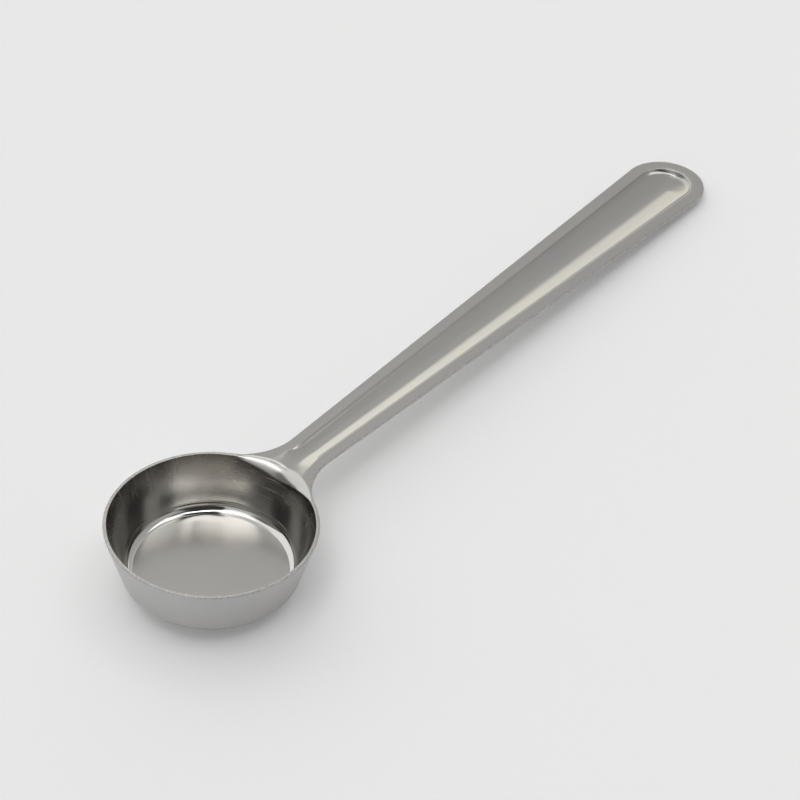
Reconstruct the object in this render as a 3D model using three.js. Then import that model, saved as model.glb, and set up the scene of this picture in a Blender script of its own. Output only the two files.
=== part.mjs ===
// Espresso scoop pressed from stainless sheet: a tapered bowl and a long channelled handle.
// Millimetres, +Z up. The origin is the middle of the bowl's flat base, on its resting face,
// and the handle runs along +X.

import * as THREE from "three";
import { mergeVertices } from "three/addons/utils/BufferGeometryUtils.js";

// Driving dimensions
const SHEET = 0.8;                // thickness of the sheet
const RIM_RADIUS = 22.5;          // outside of the bowl at its rim
const BOWL_HEIGHT = 13.7;         // resting face to the rim's inner edge
const WALL_LEAN = 16;             // degrees that the bowl wall leans out from upright
const FLOOR_CORNER = 2.2;         // inside radius between the bowl's floor and its wall
const SHOULDER_RADIUS = 3.4;      // full radius of the roll from the bowl's wall into the handle
const SHOULDER_LEAD = 1.2;        // width of ledge at which the roll has half of that radius
const NECK_FILLET = 14;           // radius of the hollow edge between the rim and the handle
const NECK_PLANE = 33;            // bowl axis to the plane where the bowl's ledge becomes the handle
const NECK_HALF_WIDTH = 5.35;     // half width of the handle in that plane
const HANDLE_REACH = 176;         // bowl axis to the handle's tip
const TIP_RADIUS = 9.85;          // round end of the handle
const HANDLE_RISE = 1;            // degrees that the handle climbs away from the rim
const LAND_NECK = 2.4;            // flat land beside the channel at the neck
const LAND_TIP = 3.3;             // flat land around the channel at the tip
const CHANNEL_DEPTH_NECK = 0.9;   // depth of the pressed channel at the neck
const CHANNEL_DEPTH_TIP = 1.7;    // depth of the pressed channel near the tip
const CHANNEL_SIDE_POWER = 2;     // 2 is a round-bottomed channel
const CHANNEL_END_POWER = 4;      // higher is a flatter floor with a steeper end

// Mesh fineness
const RIM_STEPS = 54;             // angles round the plain part of the bowl
const FILLET_STEPS = 12;          // angles along each hollow neck edge
const EDGE_STEPS = 4;             // angles along each straight neck edge
const CUT_STEPS = 12;             // angles across the neck plane
const CORNER_STEPS = 5;
const SHOULDER_STEPS = 5;
const LEDGE_STEPS = 6;
const HANDLE_STEPS = 26;
const TIP_STEPS = 22;
const CHANNEL_STEPS = 5;
const WELD_TOLERANCE = 1e-4;      // points closer than this are one point

const lean = THREE.MathUtils.degToRad(WALL_LEAN);
const riseSlope = Math.tan(THREE.MathUtils.degToRad(HANDLE_RISE));
const tipCentre = HANDLE_REACH - TIP_RADIUS;

// Handle edge: a straight line from the neck that meets the round tip tangentially
const edgeRun = tipCentre - NECK_PLANE;
const tipDistance = Math.hypot(edgeRun, NECK_HALF_WIDTH);
const edgeTurn = Math.asin(TIP_RADIUS / tipDistance) - Math.atan2(NECK_HALF_WIDTH, edgeRun);
const edgeSlope = Math.tan(edgeTurn);
const edgeLength = Math.hypot(1, edgeSlope);
const edgeOffset = NECK_HALF_WIDTH - edgeSlope * NECK_PLANE;
const edgeEnd = tipCentre - (TIP_RADIUS * edgeSlope) / edgeLength;

// Hollow neck edge: an arc tangent to the rim and to the handle edge
const hollowReach = RIM_RADIUS + NECK_FILLET;
const hollowLift = edgeOffset + NECK_FILLET * edgeLength;
const hollowRoot = Math.sqrt((hollowReach * edgeLength) ** 2 - hollowLift ** 2);
const hollowX = (hollowRoot - hollowLift * edgeSlope) / edgeLength ** 2;
const hollowY = hollowLift + edgeSlope * hollowX;
const hollowEnd = hollowX + (NECK_FILLET * edgeSlope) / edgeLength;

function edgeHalfWidth(x) {
  if (x < hollowEnd) {
    return hollowY - Math.sqrt(Math.max(0, NECK_FILLET ** 2 - (x - hollowX) ** 2));
  }
  return edgeOffset + edgeSlope * x;
}

function mixAlongHandle(atNeck, atTip, x) {
  const share = THREE.MathUtils.clamp((x - NECK_PLANE) / (tipCentre - NECK_PLANE), 0, 1);
  return THREE.MathUtils.lerp(atNeck, atTip, share);
}

const land = (x) => mixAlongHandle(LAND_NECK, LAND_TIP, x);
const channelDepth = (x) => mixAlongHandle(CHANNEL_DEPTH_NECK, CHANNEL_DEPTH_TIP, x);
const sheetPlane = (x) => BOWL_HEIGHT + riseSlope * Math.max(0, x - RIM_RADIUS);

// Top of the ledge between the bowl and the neck plane, with the channel opening into it
function ledgeTop(x, y) {
  const halfChannel = edgeHalfWidth(x) - land(x);
  const across = Math.min(1, Math.abs(y) / halfChannel);
  return sheetPlane(x) - channelDepth(x) * (1 - across ** CHANNEL_SIDE_POWER);
}

// Closes two matching grids of points, a top and a bottom, into one solid
function closedSheet(top, bottom, closedRound) {
  const rows = top.length;
  const columns = top[0].length;
  const positions = [...top.flat(), ...bottom.flat()].flat();
  const indices = [];
  const at = (side, row, column) => side * rows * columns + (row % rows) * columns + column;
  const quad = (a, b, c, d) => indices.push(a, b, c, a, c, d);
  const spans = closedRound ? rows : rows - 1;
  for (let i = 0; i < spans; i += 1) {
    for (let j = 0; j + 1 < columns; j += 1) {
      quad(at(0, i, j), at(0, i, j + 1), at(0, i + 1, j + 1), at(0, i + 1, j));
      quad(at(1, i, j), at(1, i + 1, j), at(1, i + 1, j + 1), at(1, i, j + 1));
    }
    const last = columns - 1;
    quad(at(0, i, last), at(1, i, last), at(1, i + 1, last), at(0, i + 1, last));
  }
  if (!closedRound) {
    const end = rows - 1;
    for (let j = 0; j + 1 < columns; j += 1) {
      quad(at(0, 0, j), at(1, 0, j), at(1, 0, j + 1), at(0, 0, j + 1));
      quad(at(0, end, j), at(0, end, j + 1), at(1, end, j + 1), at(1, end, j));
    }
  }
  return weld(positions, indices);
}

// Merges points that coincide and drops the triangles that this flattens
function weld(positions, indices) {
  const loose = new THREE.BufferGeometry();
  loose.setAttribute("position", new THREE.Float32BufferAttribute(positions, 3));
  loose.setIndex(indices);
  const welded = mergeVertices(loose, WELD_TOLERANCE);
  const merged = Array.from(welded.getIndex().array);
  const kept = [];
  for (let i = 0; i < merged.length; i += 3) {
    const [a, b, c] = merged.slice(i, i + 3);
    if (a !== b && b !== c && c !== a) {
      kept.push(a, b, c);
    }
  }
  welded.setIndex(kept);
  welded.computeVertexNormals();
  return welded;
}

function stepsBetween(from, to, count) {
  return Array.from({ length: count }, (_, i) => from + ((to - from) * i) / count);
}

// Bowl
const wallSlope = Math.tan(lean);
const rimInside = RIM_RADIUS - SHEET * Math.cos(lean);
const wallInside = (z) => rimInside - wallSlope * (BOWL_HEIGHT - z);
const floorRadius = wallInside(SHEET + FLOOR_CORNER) - FLOOR_CORNER / Math.cos(lean);

const rimAngle = Math.atan2(hollowY, hollowX);
const edgeAngle = Math.atan2(edgeHalfWidth(hollowEnd), hollowEnd);
const cutAngle = Math.atan2(edgeHalfWidth(NECK_PLANE), NECK_PLANE);

// Distance from the bowl axis to the trimmed edge of the sheet, at an angle from the handle
function trimRadius(angle) {
  const turn = Math.abs(angle);
  if (turn >= rimAngle) {
    return RIM_RADIUS;
  }
  const alongX = Math.cos(turn);
  const alongY = Math.sin(turn);
  if (turn > Math.max(edgeAngle, cutAngle)) {
    const towards = alongX * hollowX + alongY * hollowY;
    return towards - Math.sqrt(towards ** 2 - hollowReach ** 2 + NECK_FILLET ** 2);
  }
  if (turn > cutAngle) {
    return edgeOffset / (alongY - edgeSlope * alongX);
  }
  return NECK_PLANE / alongX;
}

// Section of the bowl's inside at an angle from the handle: [radius, z, normal radius, normal z]
function bowlSection(angle) {
  const section = [[0, SHEET, 0, -1]];
  for (let i = 0; i <= CORNER_STEPS; i += 1) {
    const turn = ((Math.PI / 2 - lean) * i) / CORNER_STEPS;
    const outward = Math.sin(turn);
    const downward = -Math.cos(turn);
    const lift = SHEET + FLOOR_CORNER;
    section.push([floorRadius + FLOOR_CORNER * outward, lift + FLOOR_CORNER * downward, outward, downward]);
  }
  const ledge = trimRadius(angle) - RIM_RADIUS;
  const roll = (SHOULDER_RADIUS * ledge) / (ledge + SHOULDER_LEAD);
  const rollReach = rimInside + roll * (1 / Math.cos(lean) - wallSlope);
  const overLedge = ledgeTop(rollReach * Math.cos(angle), rollReach * Math.sin(angle));
  const rollTop = ledge > 0 ? overLedge : BOWL_HEIGHT;
  const centreZ = rollTop - roll;
  const centreR = wallInside(centreZ) + roll / Math.cos(lean);
  for (let i = 0; i <= SHOULDER_STEPS; i += 1) {
    const turn = ledge > 0 ? lean + ((Math.PI / 2 - lean) * i) / SHOULDER_STEPS : lean;
    const outward = Math.cos(turn);
    const upward = Math.sin(turn);
    section.push([centreR - roll * outward, centreZ + roll * upward, outward, -upward]);
  }
  for (let i = 1; i <= LEDGE_STEPS; i += 1) {
    if (ledge > 0) {
      const radius = THREE.MathUtils.lerp(centreR, trimRadius(angle), i / LEDGE_STEPS);
      section.push([radius, ledgeTop(radius * Math.cos(angle), radius * Math.sin(angle)), 0, -1]);
    } else {
      section.push(section[section.length - 1]);
    }
  }
  return section;
}

function bowlAngles() {
  const edgeFrom = Math.max(edgeAngle, cutAngle);
  const edgeCount = edgeAngle > cutAngle ? EDGE_STEPS : 0;
  return [
    ...stepsBetween(-cutAngle, cutAngle, CUT_STEPS),
    ...stepsBetween(cutAngle, edgeFrom, edgeCount),
    ...stepsBetween(edgeFrom, rimAngle, FILLET_STEPS),
    ...stepsBetween(rimAngle, 2 * Math.PI - rimAngle, RIM_STEPS),
    ...stepsBetween(-rimAngle, -edgeFrom, FILLET_STEPS),
    ...stepsBetween(-edgeFrom, -cutAngle, edgeCount),
  ];
}

function bowlGeometry() {
  const inside = [];
  const outside = [];
  for (const angle of bowlAngles()) {
    const alongX = Math.cos(angle);
    const alongY = Math.sin(angle);
    const section = bowlSection(angle);
    inside.push(section.map(([r, z]) => [r * alongX, r * alongY, z]));
    const offset = section.map(([r, z, nr, nz]) => [r + SHEET * nr, z + SHEET * nz]);
    outside.push(offset.map(([r, z]) => [r * alongX, r * alongY, z]));
  }
  return closedSheet(inside, outside, true);
}

// Handle: rays from its middle line out to its edge, from the neck round the tip and back
function handleRays() {
  const side = [...stepsBetween(NECK_PLANE, edgeEnd, HANDLE_STEPS), edgeEnd];
  const near = side.map((x) => ({ foot: [x, 0], edge: [x, edgeHalfWidth(x)], end: 0 }));
  near[near.length - 1].foot[0] = tipCentre;
  const turnFrom = Math.PI / 2 + Math.atan(edgeSlope);
  const round = stepsBetween(turnFrom, -turnFrom, TIP_STEPS).slice(1).map((turn) => ({
    foot: [tipCentre, 0],
    edge: [tipCentre + TIP_RADIUS * Math.cos(turn), TIP_RADIUS * Math.sin(turn)],
    end: Math.max(0, Math.cos(turn)) ** 2,
  }));
  const far = near.map(({ foot, edge, end }) => ({ foot, edge: [edge[0], -edge[1]], end })).reverse();
  return [...near, ...round, ...far];
}

function handleGeometry() {
  const top = [];
  for (const { foot, edge, end } of handleRays()) {
    const reach = Math.hypot(edge[0] - foot[0], edge[1] - foot[1]);
    const channel = 1 - land(foot[0]) / reach;
    const power = THREE.MathUtils.lerp(CHANNEL_SIDE_POWER, CHANNEL_END_POWER, end);
    const row = [];
    for (let j = 0; j <= CHANNEL_STEPS + 1; j += 1) {
      const across = Math.min(1, j / CHANNEL_STEPS);
      const share = j > CHANNEL_STEPS ? 1 : across * channel;
      const x = THREE.MathUtils.lerp(foot[0], edge[0], share);
      const y = THREE.MathUtils.lerp(foot[1], edge[1], share);
      row.push([x, y, sheetPlane(x) - channelDepth(foot[0]) * (1 - across ** power)]);
    }
    top.push(row);
  }
  const bottom = top.map((row) => row.map(([x, y, z]) => [x, y, z - SHEET]));
  return closedSheet(top.reverse(), bottom.reverse(), false);
}

function stainless(roughness) {
  return new THREE.MeshStandardMaterial({ color: 0xbab9b5, metalness: 1, roughness });
}

const scoop = new THREE.Group();
const bowl = new THREE.Mesh(bowlGeometry(), stainless(0.22));
bowl.name = "bowl";
scoop.add(bowl);
const handle = new THREE.Mesh(handleGeometry(), stainless(0.3));
handle.name = "handle";
scoop.add(handle);

export default scoop;
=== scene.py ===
"""Espresso scoop in pressed stainless steel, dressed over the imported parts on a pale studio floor.

Lengths are written in millimetres in the frame of the part: the bowl's axis is +Z, its base rests
on z = 0 and the handle runs along +X. MM turns them into metres for Blender.
"""
import math
from collections import namedtuple

import bpy
from mathutils import Matrix, Vector


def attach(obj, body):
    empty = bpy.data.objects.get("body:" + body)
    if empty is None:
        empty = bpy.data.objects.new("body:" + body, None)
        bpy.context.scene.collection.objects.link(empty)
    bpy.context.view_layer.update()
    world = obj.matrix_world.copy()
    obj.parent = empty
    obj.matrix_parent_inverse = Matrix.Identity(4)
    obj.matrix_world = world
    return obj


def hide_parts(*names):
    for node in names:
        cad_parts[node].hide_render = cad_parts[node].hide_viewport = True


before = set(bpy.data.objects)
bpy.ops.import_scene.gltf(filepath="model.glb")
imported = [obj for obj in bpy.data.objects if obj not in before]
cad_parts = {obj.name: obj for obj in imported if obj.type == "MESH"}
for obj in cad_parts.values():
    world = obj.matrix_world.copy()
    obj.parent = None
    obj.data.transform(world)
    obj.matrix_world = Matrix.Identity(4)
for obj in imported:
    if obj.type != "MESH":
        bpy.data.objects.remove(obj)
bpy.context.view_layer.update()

MM = 0.001
UP = Vector((0, 0, 1))

# Sizes of the pressing
SHEET = 0.8                  # thickness of the sheet
INSET = 0.02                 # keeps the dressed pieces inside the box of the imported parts
RIM_RADIUS = 22.5 - INSET    # outside of the bowl at its rim
BOWL_HEIGHT = 13.7           # resting face to the rim's inner edge
WALL_LEAN = math.radians(16)
RIM_DROOP = math.radians(5)  # outward fall of the rim's cut face
FLOOR_CORNER = 2.2           # inside radius between floor and wall
SHOULDER_RADIUS = 3.6        # roll from the bowl's wall into the handle, on the handle's middle line
SHOULDER_TAPER = 1.2         # how fast the roll tightens towards the plain rim
NECK_FILLET = 14             # hollow edge between the rim and the handle
NECK_PLANE = 33              # bowl axis to the plane where bowl and handle meet
NECK_HALF_WIDTH = 5.35
HANDLE_REACH = 176 - INSET   # bowl axis to the handle's tip
TIP_RADIUS = 9.85
HANDLE_RISE = math.radians(1)
LAND_NECK = 2.4              # flat land beside the channel
LAND_TIP = 3.3
CHANNEL_DEPTH_SHOULDER = 0.4
CHANNEL_DEPTH_NECK = 0.89
CHANNEL_DEPTH_TIP = 1.62
DEPTH_BELOW = 1.21           # depth of the rib under the channel, as a share of the channel's depth
CHANNEL_ROUND = 0.35         # round part of the channel's bottom, as a share of its half width
CREST_STEP_NECK = 0.2        # height of the short steep side just inside the channel's crest
CREST_STEP_TIP = 0.55
SIDE_SHARPNESS = 14          # higher packs that steep side closer to the crest
END_STEEP = 0.7              # share of the depth in the steep end of the channel near the tip
END_WRAP = 3.5               # higher keeps the steep end closer to the middle line
END_SHARPNESS = 26           # higher packs the steep end closer to the crest
END_SHARPNESS_BELOW = 7
CREST = 0.08                 # softness of the line where channel and land meet
CREST_BELOW = 0.6            # the same under the sheet, where the press leaves a rounder line
CREST_SHOULDER = 0.6         # the same at the shoulder, where the line fades out
EDGE_ROUND = 0.16            # radius on the cut edges of the sheet
MARK_HEIGHT = 0.7            # ring that the punch leaves in the wall above the floor's corner
MARK_DEPTH = 0.06
LEDGE_BLEND = 1.2            # width of ledge over which the rim's cut face turns into the ledge

# Mesh fineness
FLOOR_RINGS = 18
CORNER_RINGS = 14
MARK_RINGS = 6
WALL_RINGS = 32
ROLL_RINGS = 16
RIM_STEPS = 320
HOLLOW_STEPS = 40
CHANNEL_RINGS = 22
LAND_RINGS = 12
LEDGE_STEPS = 40
HANDLE_STEPS = 150
TIP_STEPS = 72
EDGE_ARC_STEPS = 4
UNDER_BLEND_STEPS = 10       # ledge rows over which the underside takes up the channel's slope
RING_CROWDING = 1.5          # above 1, rings crowd towards the channel's crest
NORMAL_STEP = 0.05           # step to each side over which the ledge's slope is measured
HALVINGS = 50                # steps in the search for a root
SHARP_ANGLE = math.radians(50)

# Polish of the faces, from 0 for satin to 1 for a mirror; the sheet's underside has 0
FLOOR_POLISH = 0.52
FLOOR_FADE_RINGS = 2         # outer rings of the floor that turn from its polish to the corner's
CORNER_POLISH = 1
WALL_POLISH = 0.88
ROLL_POLISH = 0.3            # on the shoulder's roll, half way round its bend
HANDLE_POLISH = 0.75
END_POLISH = 0.1             # at the channel's steep end
END_DULL = 1.6               # reach of that duller place on both sides of the crest
DRAWN_AND_SHADE_RISE = 1.8             # higher keeps the dull drawn look and its painted shade closer to the rim
DRAWN_AND_SHADE_END = 0.1              # share of the roll's bend at which that look and its painted shade have gone

# Values that follow from the sizes
WALL_SLOPE = math.tan(WALL_LEAN)
RIM_INSIDE = RIM_RADIUS - SHEET * math.cos(WALL_LEAN)
TIP_CENTRE = HANDLE_REACH - TIP_RADIUS
EDGE_RUN = TIP_CENTRE - NECK_PLANE
EDGE_TURN = (math.asin(TIP_RADIUS / math.hypot(EDGE_RUN, NECK_HALF_WIDTH))
             - math.atan2(NECK_HALF_WIDTH, EDGE_RUN))
EDGE_SLOPE = math.tan(EDGE_TURN)
EDGE_OFFSET = NECK_HALF_WIDTH - EDGE_SLOPE * NECK_PLANE
HOLLOW_REACH = RIM_RADIUS + NECK_FILLET
HOLLOW_LIFT = EDGE_OFFSET + NECK_FILLET / math.cos(EDGE_TURN)
HOLLOW_ROOT = math.sqrt((HOLLOW_REACH / math.cos(EDGE_TURN)) ** 2 - HOLLOW_LIFT ** 2)
HOLLOW_X = (HOLLOW_ROOT - HOLLOW_LIFT * EDGE_SLOPE) * math.cos(EDGE_TURN) ** 2
HOLLOW_Y = HOLLOW_LIFT + EDGE_SLOPE * HOLLOW_X
RIM_ANGLE = math.atan2(HOLLOW_Y, HOLLOW_X)


def lerp(a, b, share):
    return a + (b - a) * share


def smooth_share(share):
    share = min(1, max(0, share))
    return share * share * (3 - 2 * share)


def solve(function, low, high):
    """Root of a rising function between low and high, by halving."""
    for _ in range(HALVINGS):
        middle = (low + high) / 2
        if function(middle) < 0:
            low = middle
        else:
            high = middle
    return (low + high) / 2


# Outline and height of the sheet's top face
def inset_half_width(x, inset):
    """Half width of the handle, or of its hollow neck, a distance inside the trimmed edge."""
    radius = NECK_FILLET + inset
    if x < HOLLOW_X + radius * math.sin(EDGE_TURN):
        return HOLLOW_Y - math.sqrt(max(0, radius ** 2 - (x - HOLLOW_X) ** 2))
    return EDGE_OFFSET - inset / math.cos(EDGE_TURN) + EDGE_SLOPE * x


def along_handle(at_neck, at_tip, x):
    share = (x - NECK_PLANE) / EDGE_RUN
    return lerp(at_neck, at_tip, min(1, max(0, share)))


def along_ledge(at_shoulder, at_neck, x):
    return lerp(at_shoulder, at_neck, smooth_share((x - RIM_RADIUS) / (NECK_PLANE - RIM_RADIUS)))


def land(x):
    return along_handle(LAND_NECK, LAND_TIP, x)


def half_channel(x):
    return inset_half_width(x, land(x))


def channel_depth(x):
    if x < NECK_PLANE:
        return along_ledge(CHANNEL_DEPTH_SHOULDER, CHANNEL_DEPTH_NECK, x)
    return along_handle(CHANNEL_DEPTH_NECK, CHANNEL_DEPTH_TIP, x)


def sheet_plane(x):
    return BOWL_HEIGHT + math.tan(HANDLE_RISE) * max(0, x - RIM_RADIUS)


def steep_share(x):
    """Share of the channel's depth that lies in the steep side just inside the crest."""
    step = along_handle(CREST_STEP_NECK, CREST_STEP_TIP, x)
    if x < NECK_PLANE:
        step = CREST_STEP_NECK * along_ledge(0, 1, x) ** 2
    return step / channel_depth(x)


# How one face of the sheet is formed: how much of the steep side it has, how sharp the channel's end is,
# how soft its crest is, and its depth as a share of the channel's depth
Form = namedtuple("Form", "step end crest depth")
TOP = Form(1, END_SHARPNESS, CREST, 1)
UNDER = Form(0, END_SHARPNESS_BELOW, CREST_BELOW, DEPTH_BELOW)


def channel_share(across, steep, sharpness, width, crest):
    """Share of the channel's depth at a place across it: a round bottom, a steep side and a crest."""
    top_length = math.hypot(1, CHANNEL_ROUND)
    climb = (math.hypot(across, CHANNEL_ROUND) - CHANNEL_ROUND) / (top_length - CHANNEL_ROUND)
    fall = 1 - (1 - steep) * climb - steep * across ** sharpness
    slope = (1 - steep) / top_length / (top_length - CHANNEL_ROUND) + sharpness * steep
    return (fall + math.hypot(fall, slope * crest / width)) / 2


def ledge_height(x, y, form):
    width = half_channel(x)
    crest = along_ledge(CREST_SHOULDER, form.crest, x)
    share = channel_share(abs(y) / width, form.step * steep_share(x), SIDE_SHARPNESS, width, crest)
    return sheet_plane(x) - channel_depth(x) * along_ledge(1, form.depth, x) * share


def channel_shares():
    """Places across half of the channel, from its middle to its crest."""
    return [1 - (1 - i / CHANNEL_RINGS) ** RING_CROWDING for i in range(CHANNEL_RINGS + 1)]


def signed_shares():
    """Places across the whole channel, from one crest to the other."""
    shares = channel_shares()
    return [-share for share in shares[:0:-1]] + shares


def land_shares():
    """Places across the land, from the channel's crest to the trimmed edge."""
    return [(i / LAND_RINGS) ** RING_CROWDING for i in range(1, LAND_RINGS + 1)]


def land_inset(share, x):
    """Distance inside the trimmed edge of a line on the land, which ends at the edge's rounding."""
    return lerp(land(x), EDGE_ROUND, share)


# A place on a cut edge: its point, the way out of the sheet, the sheet's normal, and 1 on a flange or 0
# on the bowl's plain rim
Trim = namedtuple("Trim", "index outward normal flange")


class Sheet:
    """Top and bottom points of a sheet, which share one set of faces."""

    def __init__(self):
        self.top = []
        self.bottom = []
        self.polish = []
        self.cut = []
        self.drawn = []
        self.faces = []
        self.edge = []         # trims in order along the cut edge
        self.neck_row = []     # points across the neck plane

    def add(self, top, bottom, polish=HANDLE_POLISH, cut=0, drawn=0):
        self.top.append(top)
        self.bottom.append(bottom)
        self.polish.append(polish)
        self.cut.append(cut)
        self.drawn.append(drawn)
        return len(self.top) - 1

    def face(self, *corners):
        self.faces.append(tuple(dict.fromkeys(corners)))

    def join(self, rows):
        """Faces between each row of points and the following one."""
        for row, following in zip(rows, rows[1:]):
            for j in range(len(row) - 1):
                self.face(row[j], row[j + 1], following[j + 1], following[j])


def vertex_normals(points, faces):
    mesh = bpy.data.meshes.new("normals")
    mesh.from_pydata(points, [], faces)
    normals = [item.vector.copy() for item in mesh.vertex_normals]
    bpy.data.meshes.remove(mesh)
    return normals


def edge_profile(top, bottom, trim):
    """Cut edge between a top and a bottom point: rounded at both on a flange, at the top on a rim."""
    _, outward, normal, flange = trim
    turns = [math.pi / 2 * i / EDGE_ARC_STEPS for i in range(EDGE_ARC_STEPS + 1)]
    upper = [top + outward * (EDGE_ROUND * math.sin(a)) - normal * (EDGE_ROUND * (1 - math.cos(a)))
             for a in turns[1:]]
    lower = [bottom + outward * (EDGE_ROUND * math.cos(a)) + normal * (EDGE_ROUND * (1 - math.sin(a)))
             for a in turns[:-1]]
    plain = [lerp(upper[-1], bottom, (i + 1) / (EDGE_ARC_STEPS + 1)) for i in range(EDGE_ARC_STEPS)]
    return upper + [lerp(a, b, flange) for a, b in zip(plain, lower)]


def add_edge_points(sheet, vertices):
    """Adds the points of the cut edge, and returns them in rows from a top point to a bottom point."""
    rows = []
    for trim in sheet.edge:
        start = len(vertices)
        vertices.extend(edge_profile(sheet.top[trim.index], sheet.bottom[trim.index], trim))
        rows.append([trim.index, *range(start, len(vertices)), trim.index + len(sheet.top)])
    return rows


def sheet_polygons(sheet, edge_rows):
    """Faces of the sheet's two sides, its cut edge, its end at the neck and the cut edge's two ends."""
    count = len(sheet.top)
    polygons = list(sheet.faces)
    polygons += [tuple(i + count for i in reversed(face)) for face in sheet.faces]
    for row, following in zip(edge_rows, edge_rows[1:]):
        for j in range(len(row) - 1):
            polygons.append((row[j], row[j + 1], following[j + 1], following[j]))
    for a, b in zip(sheet.neck_row, sheet.neck_row[1:]):
        polygons.append((a, a + count, b + count, b))
    return polygons + [tuple(edge_rows[0]), tuple(reversed(edge_rows[-1]))]


def sheet_finish(sheet):
    """Values that the material reads at each point of the closed sheet."""
    count = len(sheet.top)
    plain = [0] * (count + 2 * EDGE_ARC_STEPS * len(sheet.edge))
    cut = sheet.cut + [0] * count
    for trim in sheet.edge:
        cut += [1] * EDGE_ARC_STEPS + [trim.flange] * EDGE_ARC_STEPS
    return {"polish": sheet.polish + plain, "cut": cut, "drawn": sheet.drawn + plain}


def sheet_piece(name, sheet, material):
    """Closes a sheet into a solid with rounded cut edges."""
    vertices = sheet.top + sheet.bottom
    edge_rows = add_edge_points(sheet, vertices)
    mesh = bpy.data.meshes.new(name)
    mesh.from_pydata([v * MM for v in vertices], [], sheet_polygons(sheet, edge_rows))
    for finish, values in sheet_finish(sheet).items():
        mesh.attributes.new(finish, "FLOAT", "POINT").data.foreach_set("value", values)
    mesh.validate()
    mesh.shade_smooth()
    mesh.set_sharp_from_angle(angle=SHARP_ANGLE)
    mesh.materials.append(material)
    piece = bpy.data.objects.new(name, mesh)
    bpy.context.scene.collection.objects.link(piece)
    return piece


# Bowl: its section, as (radius, z)
def wall_inside(z):
    return RIM_INSIDE - WALL_SLOPE * (BOWL_HEIGHT - z)


def wall_outside(z):
    return wall_inside(z) + SHEET / math.cos(WALL_LEAN)


def shoulder_roll(angle):
    share = min(1, abs(angle) / RIM_ANGLE)
    return max(EDGE_ROUND, SHOULDER_RADIUS * (1 - share ** 2) ** SHOULDER_TAPER)


def roll_end_radius(angle, top):
    roll = shoulder_roll(angle)
    return wall_inside(top - roll) + roll / math.cos(WALL_LEAN)


def roll_centre(roll, top, droop):
    """Centre of the roll that leaves the wall and ends on a face that droops outwards."""
    along_wall = -roll
    along_face = math.cos(droop) * (top - BOWL_HEIGHT) - roll
    scale = -1 / math.cos(WALL_LEAN - droop)
    run = (along_wall * math.cos(droop) - along_face * math.sin(WALL_LEAN)) * scale
    climb = (-along_face * math.cos(WALL_LEAN) - along_wall * math.sin(droop)) * scale
    return RIM_INSIDE + run, BOWL_HEIGHT + climb


def arc_point(centre, radius, turn):
    return centre[0] - radius * math.cos(turn), centre[1] + radius * math.sin(turn)


def arc(centre, radius, turn_from, turn_to, steps):
    return [arc_point(centre, radius, lerp(turn_from, turn_to, i / steps)) for i in range(1, steps + 1)]


def line(start, end, steps):
    shares = [i / steps for i in range(1, steps + 1)]
    return [(lerp(start[0], end[0], share), lerp(start[1], end[1], share)) for share in shares]


def corner_arc(centre, radius):
    """Corner from level up to the wall's lean."""
    slopes = [(math.pi / 2 - WALL_LEAN) * i / CORNER_RINGS for i in range(1, CORNER_RINGS + 1)]
    return [(centre[0] + radius * math.sin(s), centre[1] - radius * math.cos(s)) for s in slopes]


def floor_corner(radius, z):
    """Flat floor at a height and the corner round it up to the wall."""
    centre_z = FLOOR_CORNER + SHEET
    centre = (wall_inside(centre_z) - FLOOR_CORNER / math.cos(WALL_LEAN), centre_z)
    return line((0, z), (centre[0], z), FLOOR_RINGS) + corner_arc(centre, radius)


def punch_mark(foot):
    """Shallow step that the punch leaves in the wall just above the corner."""
    points = []
    for i in range(1, MARK_RINGS + 1):
        share = i / MARK_RINGS
        bulge = MARK_DEPTH * math.sin(math.pi * share) ** 2
        z = foot[1] + MARK_HEIGHT * share
        points.append((wall_inside(z) - bulge, z))
    return points


def cup_inside(roll, top, droop):
    """Inside of the bowl from its floor to the end of the roll."""
    section = floor_corner(FLOOR_CORNER, SHEET)
    foot = section[-1]
    centre = roll_centre(roll, top, droop)
    wall = line(foot, arc_point(centre, roll, WALL_LEAN), WALL_RINGS)
    section += punch_mark(foot) + wall[MARK_RINGS:]
    return section + arc(centre, roll, WALL_LEAN, math.pi / 2 + droop, ROLL_RINGS)


def cup_outside(roll, top, flange):
    """Outside of the bowl up to its rim: a fillet under a flange, or else a plain wall."""
    section = floor_corner(FLOOR_CORNER + SHEET, 0)
    foot = section[-1]
    fillet = max(roll - SHEET, EDGE_ROUND)
    fillet_z = top - SHEET - fillet
    centre = (wall_outside(fillet_z) + fillet / math.cos(WALL_LEAN), fillet_z)
    flanged = line(foot, arc_point(centre, fillet, WALL_LEAN), WALL_RINGS)
    flanged += arc(centre, fillet, WALL_LEAN, math.pi / 2, ROLL_RINGS)
    rim_z = BOWL_HEIGHT - SHEET
    plain = line(foot, (wall_outside(rim_z), rim_z), WALL_RINGS + ROLL_RINGS)
    blended = [(lerp(a[0], b[0], flange), lerp(a[1], b[1], flange)) for a, b in zip(plain, flanged)]
    return section + blended


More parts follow.
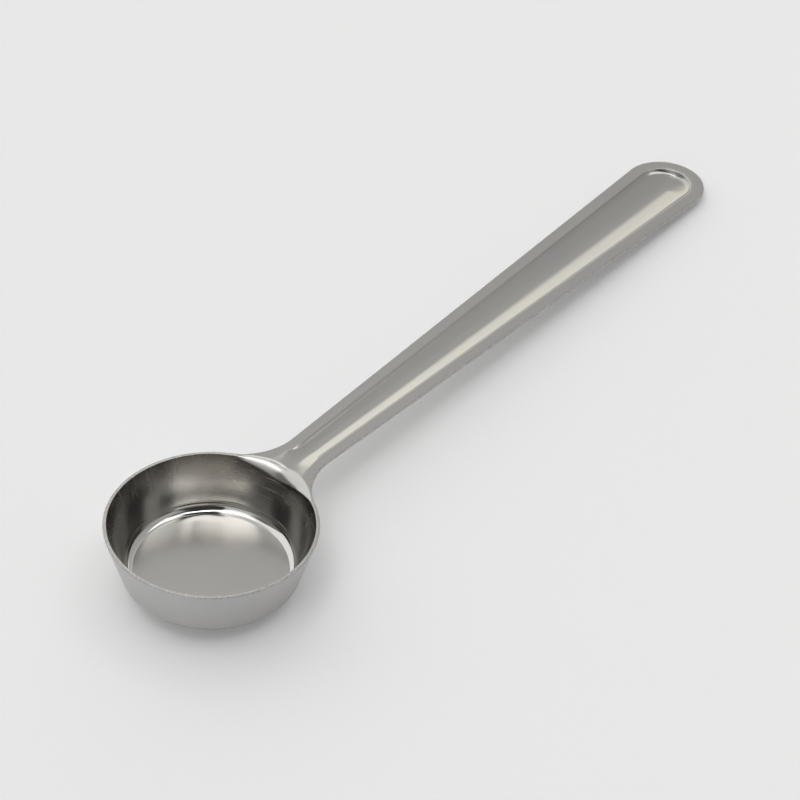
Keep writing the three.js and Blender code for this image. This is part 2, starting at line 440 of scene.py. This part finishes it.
def cup_finish(ring):
    """Polish and share of drawn look, which also carries painted shade, of a ring of the bowl, counted
    from the middle of its floor.
    """
    past_floor = smooth_share((ring - FLOOR_RINGS + FLOOR_FADE_RINGS) / FLOOR_FADE_RINGS)
    past_corner = smooth_share((ring - FLOOR_RINGS - CORNER_RINGS / 2) / CORNER_RINGS * 2)
    past_wall = smooth_share((ring - FLOOR_RINGS - CORNER_RINGS - WALL_RINGS) / ROLL_RINGS)
    polish = lerp(FLOOR_POLISH, CORNER_POLISH, past_floor)
    polish = lerp(polish, WALL_POLISH, past_corner)
    polish = lerp(polish, HANDLE_POLISH, past_wall)
    on_roll = 1 - abs(2 * past_wall - 1)
    up_wall = min(1, max(0, (ring - FLOOR_RINGS - CORNER_RINGS) / WALL_RINGS))
    # the drawn look and its painted shade grow up the wall towards the rim
    drawn = up_wall ** DRAWN_AND_SHADE_RISE * (1 - smooth_share(past_wall / DRAWN_AND_SHADE_END))
    return lerp(polish, ROLL_POLISH, on_roll), drawn


# Bowl: columns of points round it. Those below the channel's mouth have no trimmed edge.
Column = namedtuple("Column", "angle top edge flange")


def outward_at(angle):
    return Vector((math.cos(angle), math.sin(angle), 0))


def rim_height(place):
    """Height of the sheet's top face beside the channel's crest, or of the plain rim."""
    if abs(math.atan2(place.y, place.x)) < RIM_ANGLE:
        return ledge_height(place.x, place.y, TOP)
    return BOWL_HEIGHT


def channel_start(share):
    """Where a line along the channel meets the end of the shoulder's roll."""
    def past_roll(x):
        y = share * half_channel(x)
        return math.hypot(x, y) - roll_end_radius(math.atan2(y, x), ledge_height(x, y, TOP))
    x = solve(past_roll, RIM_INSIDE * math.cos(RIM_ANGLE), NECK_PLANE)
    return x, share * half_channel(x)


def mouth_column(x, y):
    return Column(math.atan2(y, x), ledge_height(x, y, TOP), None, 1)


def rim_column(angle, edge):
    flange = smooth_share((edge.length + EDGE_ROUND - RIM_RADIUS) / LEDGE_BLEND)
    top = rim_height(outward_at(angle) * roll_end_radius(angle, BOWL_HEIGHT))
    return Column(angle, top, edge, flange)


def hollow_point(turn, inset):
    radius = NECK_FILLET + inset
    return Vector((HOLLOW_X + radius * math.cos(turn), HOLLOW_Y + radius * math.sin(turn), 0))


def mirrored(point):
    return Vector((point.x, -point.y, point.z))


def rim_columns(crest):
    """Columns round the rim from the channel's crest on one side to the one on the other side."""
    crest_angle = math.atan2(crest[1], crest[0])
    crest_turn = math.atan2(crest[1] - HOLLOW_Y, crest[0] - HOLLOW_X)
    hollow = []
    for i in range(HOLLOW_STEPS + 1):
        share = i / HOLLOW_STEPS
        turn = lerp(crest_turn, RIM_ANGLE - math.pi, share)
        hollow.append((lerp(crest_angle, RIM_ANGLE, share), hollow_point(turn, EDGE_ROUND)))
    reach = RIM_RADIUS - EDGE_ROUND
    plain = []
    for i in range(1, RIM_STEPS):
        angle = lerp(RIM_ANGLE, 2 * math.pi - RIM_ANGLE, i / RIM_STEPS)
        plain.append((angle, Vector((reach * math.cos(angle), reach * math.sin(angle), 0))))
    other_side = [(-angle, mirrored(edge)) for angle, edge in reversed(hollow)]
    return [rim_column(angle, edge) for angle, edge in hollow + plain + other_side]


def add_cup_column(sheet, column):
    """Points from the floor to the end of the roll, and the section's inside and outside ends."""
    roll = shoulder_roll(column.angle)
    inside = cup_inside(roll, column.top, RIM_DROOP * (1 - column.flange))
    outside = cup_outside(roll, column.top, column.flange)
    outward = outward_at(column.angle)
    points = []
    for ring, ((r, z), (under_r, under_z)) in enumerate(zip(inside, outside)):
        polish, drawn = cup_finish(ring)
        under = outward * under_r + UP * under_z
        points.append(sheet.add(outward * r + UP * z, under, polish, drawn=drawn))
    return points, inside[-1], outside[-1]


def add_rim_strip(sheet, column, inside_end, outside_end):
    """Points from the roll's end to the trimmed edge: the rim's cut face, or the land, and their trim."""
    around = outward_at(column.angle)
    start = around * inside_end[0]
    across = column.edge - start
    droop = RIM_DROOP * (1 - column.flange)
    wall_top = BOWL_HEIGHT - EDGE_ROUND - SHEET / 2
    points = []
    for share in land_shares():
        place = start + across * share
        rise = rim_height(place) - rim_height(start)
        top = place + UP * (inside_end[1] + rise - math.tan(droop) * across.length * share)
        flanged = lerp(around * outside_end[0], column.edge, share) + UP * (outside_end[1] + rise)
        wall_z = lerp(outside_end[1], wall_top, share)
        plain = around * wall_outside(wall_z) + UP * wall_z
        points.append(sheet.add(top, lerp(plain, flanged, column.flange), cut=1 - column.flange))
    outward = across.normalized()
    normal = outward * math.sin(droop) + UP * math.cos(droop)
    falling = outward * math.cos(droop) - UP * math.sin(droop)
    return points, Trim(points[-1], falling, normal, column.flange)


# Bowl: the ledge from the shoulder's roll to the neck plane, with the channel opening into it
def ledge_station(share, beside, x):
    """Place across the ledge: a share of the channel, or past its crest a share of the land."""
    if beside == 0:
        return share * half_channel(x)
    return math.copysign(inset_half_width(x, land_inset(beside, x)), share)


def ledge_normal(x, y):
    """Normal of the ledge's lower form."""
    along = ledge_height(x + NORMAL_STEP, y, UNDER) - ledge_height(x - NORMAL_STEP, y, UNDER)
    across = ledge_height(x, y + NORMAL_STEP, UNDER) - ledge_height(x, y - NORMAL_STEP, UNDER)
    return Vector((-along, -across, 2 * NORMAL_STEP)).normalized()


def add_ledge(sheet, first_row, shares):
    """Adds the ledge after the row at the roll's end, and returns its rows and its points' normals."""
    lands = land_shares()
    stations = [(-1, b) for b in reversed(lands)] + [(s, 0) for s in shares] + [(1, b) for b in lands]
    starts = [sheet.top[index].x for index in first_row]
    rows = [first_row]
    normals = {}
    for i in range(1, LEDGE_STEPS + 1):
        row = []
        for (share, beside), start in zip(stations, starts):
            x = lerp(start, NECK_PLANE, i / LEDGE_STEPS)
            y = ledge_station(share, beside, x)
            normal = lerp(UP, ledge_normal(x, y), smooth_share(i / UNDER_BLEND_STEPS)).normalized()
            under = Vector((x, y, ledge_height(x, y, UNDER))) - normal * SHEET
            row.append(sheet.add(Vector((x, y, ledge_height(x, y, TOP))), under))
            normals[row[-1]] = normal
        for j in range(len(row) - 1):
            sheet.face(rows[-1][j], row[j], row[j + 1], rows[-1][j + 1])
        rows.append(row)
    return rows, normals


def ledge_trims(sheet, rows, normals, side):
    """Trims from the shoulder to the neck, at the start of the rows for side 0 or at their end for -1."""
    trims = []
    for i in range(1, len(rows)):
        before = sheet.top[rows[i - 1][side]]
        after = sheet.top[rows[min(i + 1, LEDGE_STEPS)][side]]
        along = after - before if side == 0 else before - after
        index = rows[i][side]
        trims.append(Trim(index, along.cross(normals[index]).normalized(), normals[index], 1))
    return trims


def bowl_sheet():
    sheet = Sheet()
    shares = signed_shares()
    starts = [channel_start(share) for share in shares]
    mouth = [mouth_column(x, y) for x, y in starts[1:-1]]
    middle = sheet.add(Vector((0, 0, SHEET)), Vector((0, 0, 0)), FLOOR_POLISH)
    cup_rows = []
    rim_rows = []
    rim_trims = []
    for column in mouth + rim_columns(starts[-1]):
        points, inside_end, outside_end = add_cup_column(sheet, column)
        cup_rows.append([middle] + points)
        if column.edge is not None:
            strip, trim = add_rim_strip(sheet, column, inside_end, outside_end)
            rim_rows.append([points[-1]] + strip)
            rim_trims.append(trim)
    sheet.join(cup_rows + cup_rows[:1])
    sheet.join(rim_rows)

    mouth_row = [row[-1] for row in cup_rows[:len(mouth)]]
    rows, normals = add_ledge(sheet, rim_rows[-1][::-1] + mouth_row + rim_rows[0], shares)
    left = ledge_trims(sheet, rows, normals, -1)
    right = ledge_trims(sheet, rows, normals, 0)
    sheet.edge = left[::-1] + rim_trims + right
    sheet.neck_row = rows[-1]
    return sheet


# Handle
def handle_foot(step):
    return lerp(NECK_PLANE, TIP_CENTRE, step / HANDLE_STEPS)


def handle_rays():
    """Rays from the middle line to the edge, up one side, round the tip and down the other side."""
    sides = []
    for i in range(HANDLE_STEPS + 1):
        foot = handle_foot(i)
        turn = EDGE_TURN * i / HANDLE_STEPS
        reach = (EDGE_OFFSET + EDGE_SLOPE * foot) / (math.cos(turn) + EDGE_SLOPE * math.sin(turn))
        sides.append((i, foot, math.pi / 2 + turn, reach))
    rays = [(i, foot, -turn, reach) for i, foot, turn, reach in sides]
    tip_turn = sides[-1][2]
    for i in range(1, TIP_STEPS):
        rays.append((HANDLE_STEPS, TIP_CENTRE, lerp(-tip_turn, tip_turn, i / TIP_STEPS), TIP_RADIUS))
    return rays + sides[::-1]


def ray_distances(foot, reach):
    """Distances of a ray's points from the middle line, across the channel and the land."""
    distances = [share * (reach - land(foot)) for share in channel_shares()[1:]]
    return distances + [reach - land_inset(share, foot) for share in land_shares()]


def handle_point(foot, turn, reach, distance, form):
    x = foot + distance * math.cos(turn)
    width = reach - land(foot)
    end = max(0, math.cos(turn)) ** END_WRAP
    steep = lerp(form.step * steep_share(foot), END_STEEP, end)
    sharpness = lerp(SIDE_SHARPNESS, form.end, end)
    share = channel_share(distance / width, steep, sharpness, width, form.crest)
    depth = channel_depth(foot) * form.depth * share
    return Vector((x, distance * math.sin(turn), sheet_plane(x) - depth))


def handle_polish(foot, turn, reach, distance):
    """Polish of the handle's top face, duller at the channel's steep end."""
    from_crest = abs(distance - reach + land(foot))
    dull = smooth_share(1 - from_crest / END_DULL) * max(0, math.cos(turn))
    return lerp(HANDLE_POLISH, END_POLISH, dull)


def handle_sheet():
    sheet = Sheet()
    places = []
    for i in range(HANDLE_STEPS + 1):
        foot = handle_foot(i)
        places.append((foot, math.pi / 2, inset_half_width(foot, 0), 0))
    grid = []
    for index, foot, turn, reach in handle_rays():
        row = [index]
        for distance in ray_distances(foot, reach):
            row.append(len(places))
            places.append((foot, turn, reach, distance))
        grid.append(row)
    sheet.join(grid)

    under = [handle_point(*place, UNDER) for place in places]
    normals = vertex_normals(under, sheet.faces)
    for place, below, normal in zip(places, under, normals):
        sheet.add(handle_point(*place, TOP), below - normal * SHEET, handle_polish(*place))
    for i, row in enumerate(grid):
        before = sheet.top[grid[max(0, i - 1)][-1]]
        after = sheet.top[grid[min(len(grid) - 1, i + 1)][-1]]
        normal = normals[row[-1]]
        sheet.edge.append(Trim(row[-1], (after - before).cross(normal).normalized(), normal, 1))
    sheet.neck_row = grid[-1][:0:-1] + grid[0]
    return sheet


# Materials
STEEL_COLOUR = (0.56, 0.551, 0.53, 1)
# painted shade: the steel is painted a little darker towards the handle's tip
TIP_SHADE_COLOUR = (0.5, 0.49, 0.473, 1)
MIRROR_COLOUR = (0.68, 0.67, 0.65, 1)
SATIN_COLOUR = (0.535, 0.533, 0.53, 1)
# painted shade: a dark reflection painted into the top of the wall inside the bowl
WALL_SHADE_COLOUR = (0.152, 0.134, 0.122, 1)
CUT_COLOUR = (0.38, 0.37, 0.36, 1)
WARM_TINT = (1.01, 1, 0.985, 1)
COOL_TINT = (0.985, 0.99, 0.99, 1)
STEEL_FROM = 0.4             # polish from which satin has turned into the steel's own colour
SATIN_ROUGHNESS = 0.36       # outside of the bowl and underside of the handle
POLISHED_ROUGHNESS = 0.08    # corner inside the bowl
DRAWN_ROUGHNESS = 0.26       # top of the wall inside the bowl
CUT_ROUGHNESS = 0.45         # cut edges of the sheet
SCUFF_ROUGHNESS = 0.26       # added to the roughness in a scuff
SCRATCH_SHINE = 0.68         # share of the painted wall shade that a scratch takes away, so scratches show lighter
SCRATCHED_FROM = 0.4         # share of drawn look and painted shade from which the wall has all its scratches
ROLLED_STRENGTH = 0.2        # strength of the rolled sheet's lines, beside that of a scratch
DENT_DEPTH = 0.03 * MM       # shallow waves that the press leaves
FLOOR_COLOUR = (0.88, 0.88, 0.88, 1)
GLOW_COLOUR = (1, 1, 1, 1)
FLOOR_GLOW = 0.12            # light that the floor adds for the camera and for reflections

# Noise: features per metre on each axis, detail, and the values where it starts to show and is full
Grain = namedtuple("Grain", "scale detail start full")
SCUFFS = Grain((160, 160, 2600), 4, 0.55, 0.7)
DRAWING_LINES = Grain((1000, 1000, 150), 4, 0.5, 0.8)
DRAWING_PATCHES = Grain((70, 70, 70), 1, 0.5, 0.66)
ROLLED_LINES = Grain((50, 1800, 1800), 3, 0.4, 0.75)
SPECKLES = Grain((2500, 2500, 2500), 2, 0.4, 0.65)
CLOUDS = Grain((90, 90, 90), 2, 0.35, 0.65)
DENT_SCALE = (75, 75, 75)
DENT_DETAIL = 1

# Sockets of a Mix node that blends colours: factor, first and second colour, and result
MIX_INPUTS = (0, 6, 7)
MIX_RESULT = 2


def new_material(name):
    material = bpy.data.materials.new(name)
    material.use_nodes = True
    return material, material.node_tree, material.node_tree.nodes["Principled BSDF"]


def feed(tree, socket, value):
    """Links a socket to another one, or sets it to a value."""
    if isinstance(value, bpy.types.NodeSocket):
        tree.links.new(value, socket)
    else:
        socket.default_value = value


def node(tree, kind, **inputs):
    """New node with its inputs fed by name; an underscore stands for a space."""
    made = tree.nodes.new(kind)
    for name, value in inputs.items():
        feed(tree, made.inputs[name.replace("_", " ")], value)
    return made


def operation_node(tree, kind, operation, values):
    made = tree.nodes.new(kind)
    made.operation = operation
    for socket, value in zip(made.inputs, values):
        feed(tree, socket, value)
    return made


def math_node(tree, operation, *values):
    return operation_node(tree, "ShaderNodeMath", operation, values).outputs["Value"]


def vector_node(tree, operation, *values):
    return operation_node(tree, "ShaderNodeVectorMath", operation, values).outputs["Vector"]


def attribute(tree, name):
    made = tree.nodes.new("ShaderNodeAttribute")
    made.attribute_name = name
    return made.outputs["Fac"]


def blend(tree, factor, a, b):
    return node(tree, "ShaderNodeMix", Factor=factor, A=a, B=b).outputs["Result"]


def blend_colour(tree, factor, a, b):
    made = tree.nodes.new("ShaderNodeMix")
    made.data_type = "RGBA"
    for index, value in zip(MIX_INPUTS, (factor, a, b)):
        feed(tree, made.inputs[index], value)
    return made.outputs[MIX_RESULT]


def ramp(tree, value, start, full, strength=1):
    """Smooth climb from 0 to a strength, between two values."""
    made = node(tree, "ShaderNodeMapRange", Value=value, From_Min=start, From_Max=full, To_Max=strength)
    made.interpolation_type = "SMOOTHSTEP"
    return made.outputs["Result"]


def noise(tree, place, scale, detail):
    """Noise at a place stretched by a scale for each axis, in features per metre."""
    stretched = node(tree, "ShaderNodeMapping", Vector=place, Scale=scale)
    made = node(tree, "ShaderNodeTexNoise", Vector=stretched.outputs["Vector"], Scale=1, Detail=detail)
    return made.outputs["Fac"]


def grain_noise(tree, place, grain, strength=1):
    value = noise(tree, place, grain.scale, grain.detail)
    return ramp(tree, value, grain.start, grain.full, strength)


def round_the_bowl(tree, place):
    """Place on a drum round the bowl's axis, so that streaks can run round it or up it."""
    axes = node(tree, "ShaderNodeSeparateXYZ", Vector=place)
    flat = node(tree, "ShaderNodeCombineXYZ", X=axes.outputs["X"], Y=axes.outputs["Y"])
    outward = vector_node(tree, "NORMALIZE", flat.outputs["Vector"])
    drum = vector_node(tree, "MULTIPLY", outward, (RIM_RADIUS * MM, RIM_RADIUS * MM, 0))
    height = node(tree, "ShaderNodeCombineXYZ", Z=axes.outputs["Z"])
    return vector_node(tree, "ADD", drum, height.outputs["Vector"])


def bowl_marks(tree, place):
    """Scuffs round the bowl and drawing marks up its wall, gathered in patches."""
    drum = round_the_bowl(tree, place)
    scuffs = grain_noise(tree, drum, SCUFFS)
    lines = grain_noise(tree, drum, DRAWING_LINES)
    streaks = blend(tree, grain_noise(tree, place, DRAWING_PATCHES), scuffs, lines)
    on_wall = ramp(tree, attribute(tree, "drawn"), 0, SCRATCHED_FROM)
    return math_node(tree, "MULTIPLY", streaks, on_wall)


def handle_marks(tree, place):
    """Fine lengthwise lines of a rolled sheet."""
    return grain_noise(tree, place, ROLLED_LINES, ROLLED_STRENGTH)


# What a steel material reads at a place: the values of the sheet and the strength of the marks
Surface = namedtuple("Surface", "place polish cut drawn scratched")


def steel_roughness(tree, surface):
    roughness = blend(tree, surface.polish, SATIN_ROUGHNESS, POLISHED_ROUGHNESS)
    roughness = blend(tree, surface.drawn, roughness, DRAWN_ROUGHNESS)
    worn = math_node(tree, "MULTIPLY", surface.scratched, SCUFF_ROUGHNESS)
    roughness = math_node(tree, "ADD", roughness, worn)
    return blend(tree, surface.cut, roughness, CUT_ROUGHNESS)


def steel_colour(tree, surface):
    """Satin, steel or mirror by the polish, painted darker towards the handle's tip, with painted shade
    on the drawn top of the bowl's wall that scratches lighten, speckled where cut, in faint clouds.
    """
    along = node(tree, "ShaderNodeSeparateXYZ", Vector=surface.place).outputs["X"]
    # painted shade: darker steel colour towards the handle's tip
    tip_shade = ramp(tree, along, NECK_PLANE * MM, TIP_CENTRE * MM)
    steel = blend_colour(tree, tip_shade, STEEL_COLOUR, TIP_SHADE_COLOUR)
    colour = blend_colour(tree, ramp(tree, surface.polish, 0, STEEL_FROM), SATIN_COLOUR, steel)
    mirror = ramp(tree, surface.polish, WALL_POLISH, CORNER_POLISH)
    colour = blend_colour(tree, mirror, colour, MIRROR_COLOUR)
    shine = math_node(tree, "MULTIPLY", surface.scratched, SCRATCH_SHINE)
    # painted shade on the drawn top of the bowl's wall, lighter in scratches
    dull = math_node(tree, "MULTIPLY", surface.drawn, math_node(tree, "SUBTRACT", 1, shine))
    colour = blend_colour(tree, dull, colour, WALL_SHADE_COLOUR)
    speckle = grain_noise(tree, surface.place, SPECKLES)
    colour = blend_colour(tree, math_node(tree, "MULTIPLY", surface.cut, speckle), colour, CUT_COLOUR)
    tint = blend_colour(tree, grain_noise(tree, surface.place, CLOUDS), WARM_TINT, COOL_TINT)
    return vector_node(tree, "MULTIPLY", colour, tint)


def steel_material(name, marks):
    material, tree, shader = new_material(name)
    place = tree.nodes.new("ShaderNodeTexCoord").outputs["Object"]
    values = [attribute(tree, value) for value in ("polish", "cut", "drawn")]
    surface = Surface(place, *values, marks(tree, place))
    tree.links.new(steel_roughness(tree, surface), shader.inputs["Roughness"])
    tree.links.new(steel_colour(tree, surface), shader.inputs["Base Color"])
    dents = noise(tree, place, DENT_SCALE, DENT_DETAIL)
    waves = node(tree, "ShaderNodeBump", Height=dents, Distance=DENT_DEPTH)
    tree.links.new(waves.outputs["Normal"], shader.inputs["Normal"])
    shader.inputs["Metallic"].default_value = 1
    return material


def floor_material():
    """Matt floor that glows a little for the camera and in reflections, and takes shadows."""
    material, tree, shader = new_material("studio_floor")
    shader.inputs["Base Color"].default_value = FLOOR_COLOUR
    shader.inputs["Roughness"].default_value = 1
    shader.inputs["Specular IOR Level"].default_value = 0
    shader.inputs["Emission Color"].default_value = GLOW_COLOUR
    path = tree.nodes.new("ShaderNodeLightPath")
    seen = math_node(tree, "MAXIMUM", path.outputs["Is Camera Ray"], path.outputs["Is Glossy Ray"])
    glow = math_node(tree, "MULTIPLY", seen, FLOOR_GLOW)
    tree.links.new(glow, shader.inputs["Emission Strength"])
    return material


# Stage: the photograph's floor, with +Y away from the camera and its origin in the picture's middle.
# Its angles are in radians.
CAMERA_ELEVATION = 0.75676
CAMERA_DISTANCE = 545.451
CAMERA_NEAR = 10             # nearest distance that it sees
CAMERA_LENS = 108
CAMERA_SENSOR = 36
HANDLE_BEARING = 0.88533     # turn of the handle from the picture's right
LEAN_BACK = 0.0886           # the scoop leans back on its base edge and the end of its handle
BASE_EDGE = 16.293           # bowl axis to the base edge that the scoop leans on
BASE_EDGE_PLACE = Vector((-29.4909, -41.201, 0))
FLOOR_SIZE = 6000


def stage_matrix():
    """Turns places on the stage, in millimetres, into places in the frame of the part."""
    turn = Matrix.Rotation(HANDLE_BEARING, 4, "Z") @ Matrix.Rotation(LEAN_BACK, 4, "Y")
    return (Matrix.Translation((BASE_EDGE, 0, 0)) @ turn.transposed()
            @ Matrix.Translation(-BASE_EDGE_PLACE))


def metres(matrix):
    """The same placement with its lengths in metres."""
    placed = matrix.copy()
    placed.translation *= MM
    return placed


def add_camera(stage):
    data = bpy.data.cameras.new("camera")
    data.lens = CAMERA_LENS
    data.sensor_width = CAMERA_SENSOR
    data.clip_start = CAMERA_NEAR * MM
    camera = bpy.data.objects.new("camera", data)
    bpy.context.scene.collection.objects.link(camera)
    back = Vector((0, -math.cos(CAMERA_ELEVATION), math.sin(CAMERA_ELEVATION)))
    local = (Matrix.Translation(back * CAMERA_DISTANCE)
             @ Matrix.Rotation(math.pi / 2 - CAMERA_ELEVATION, 4, "X"))
    camera.matrix_world = metres(stage @ local)
    bpy.context.scene.camera = camera


def add_floor(handle):
    """Floor through the base edge and the lowest line under the handle."""
    lean = min(math.atan2(v.co.z, v.co.x - BASE_EDGE * MM) for v in handle.data.vertices)
    half = FLOOR_SIZE / 2 * MM
    corners = [(-half, -half, 0), (half, -half, 0), (half, half, 0), (-half, half, 0)]
    mesh = bpy.data.meshes.new("studio_floor")
    mesh.from_pydata(corners, [], [(0, 1, 2, 3)])
    mesh.materials.append(floor_material())
    floor = bpy.data.objects.new("studio_floor", mesh)
    bpy.context.scene.collection.objects.link(floor)
    floor.matrix_world = Matrix.Translation((BASE_EDGE * MM, 0, 0)) @ Matrix.Rotation(-lean, 4, "Y")


# Light: a dark room round the stage with soft panels hung in it, later ones in front.
# Angles are in degrees: azimuth from the far side, to the right, and elevation above the floor.
Panel = namedtuple("Panel", "azimuth elevation half_width half_height softness colour strength")
WHITE = (1, 1, 1)
WARM = (1, 0.985, 0.92)
ROOM = (0.07, 0.07, 0.075, 1)
PANELS = (
    Panel(0, 90, 400, 30, 0.2, WHITE, 1.15),        # ceiling
    Panel(-140, 58, 22, 16, 0.4, WHITE, 1.15),      # its low part on the near left
    Panel(0, 90, 400, 22, 0.12, WHITE, 2.75),       # skylight in its middle
    Panel(-38, 76, 34, 8, 0.2, WHITE, 0.95),        # dimmer part of the skylight
    Panel(0, 90, 400, 4, 0.2, WHITE, 0.05),         # dark hub of the skylight
    Panel(-106, 26, 20, 26, 0.3, WHITE, 0.19),      # dim wall on the left
    Panel(-150, 22, 26, 28, 0.5, WHITE, 0.5),       # lighter wall on the near left
    Panel(155, 51.5, 33, 21.5, 0.06, WHITE, 0.04),  # dark side behind the camera
    Panel(-177, 51.5, 9, 21.5, 0.06, WHITE, 0.04),  # the same, across the half turn
    Panel(22, 38, 46, 19, 0.12, WHITE, 0.5),        # grey backdrop
    Panel(60, 38, 34, 19, 0.5, WHITE, 0.41),        # the same, falling off to the right
    Panel(-46, 36, 37.5, 32, 0.07, WHITE, 0.93),    # window wall on the left
    Panel(-6, 0, 44, 24, 0.08, WARM, 1.08),         # bright foot of the backdrop
    Panel(-3, 58, 20, 7.5, 0.12, WHITE, 1.3),       # strip light high at the back
    Panel(-22, 62, 9, 8, 0.4, WHITE, 0.5),          # dim end of the strip light
    Panel(42, 76.5, 46, 11.5, 0.06, WHITE, 0.03),   # gap between strip light and skylight
    Panel(112, 22, 22, 26, 0.3, WHITE, 0.42),       # right wall
    Panel(72, 60, 27, 10, 0.15, WHITE, 1.4),        # lamp on the right
)
LIGHT = 1.13                 # strength of the whole room


def panel_light(tree, angles, panel, behind):
    """Hangs a panel in front of the light so far, with a soft border."""
    half = (panel.half_width, panel.half_height)
    placed = node(tree, "ShaderNodeMapping", Vector=angles,
                  Location=(-panel.azimuth / half[0], -panel.elevation / half[1], 0),
                  Scale=(1 / half[0], 1 / half[1], 0))
    distance = vector_node(tree, "ABSOLUTE", placed.outputs["Vector"])
    sides = node(tree, "ShaderNodeSeparateXYZ", Vector=distance)
    far = math_node(tree, "MAXIMUM", sides.outputs["X"], sides.outputs["Y"])
    inside = ramp(tree, far, 1 + panel.softness, 1 - panel.softness)
    colour = [channel * panel.strength for channel in panel.colour] + [1]
    return blend_colour(tree, inside, behind, colour)


def stage_angles(tree, stage):
    """Azimuth and elevation, in degrees on the stage, of the way that a ray of light looks."""
    direction = tree.nodes.new("ShaderNodeTexCoord")
    turned = node(tree, "ShaderNodeMapping", Vector=direction.outputs["Generated"],
                  Rotation=stage.to_3x3().transposed().to_euler())
    turned.vector_type = "NORMAL"
    axes = node(tree, "ShaderNodeSeparateXYZ", Vector=turned.outputs["Vector"])
    azimuth = math_node(tree, "ARCTAN2", axes.outputs["X"], axes.outputs["Y"])
    elevation = math_node(tree, "ARCSINE", axes.outputs["Z"])
    angles = node(tree, "ShaderNodeCombineXYZ",
                  X=math_node(tree, "MULTIPLY", azimuth, math.degrees(1)),
                  Y=math_node(tree, "MULTIPLY", elevation, math.degrees(1)))
    return angles.outputs["Vector"]


def add_world(stage):
    world = bpy.data.worlds.new("studio")
    bpy.context.scene.world = world
    world.use_nodes = True
    tree = world.node_tree
    background = tree.nodes["Background"]
    angles = stage_angles(tree, stage)
    light = ROOM
    for panel in PANELS:
        light = panel_light(tree, angles, panel, light)
    tree.links.new(light, background.inputs["Color"])
    background.inputs["Strength"].default_value = LIGHT


stage = stage_matrix()
add_camera(stage)
bowl = sheet_piece("bowl_shell", bowl_sheet(), steel_material("bowl_stainless", bowl_marks))
handle = sheet_piece("handle_channel", handle_sheet(), steel_material("handle_stainless", handle_marks))
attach(bowl, "root")
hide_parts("bowl")
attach(handle, "root")
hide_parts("handle")
add_floor(handle)
add_world(stage)
bpy.context.scene.view_settings.view_transform = "Standard"
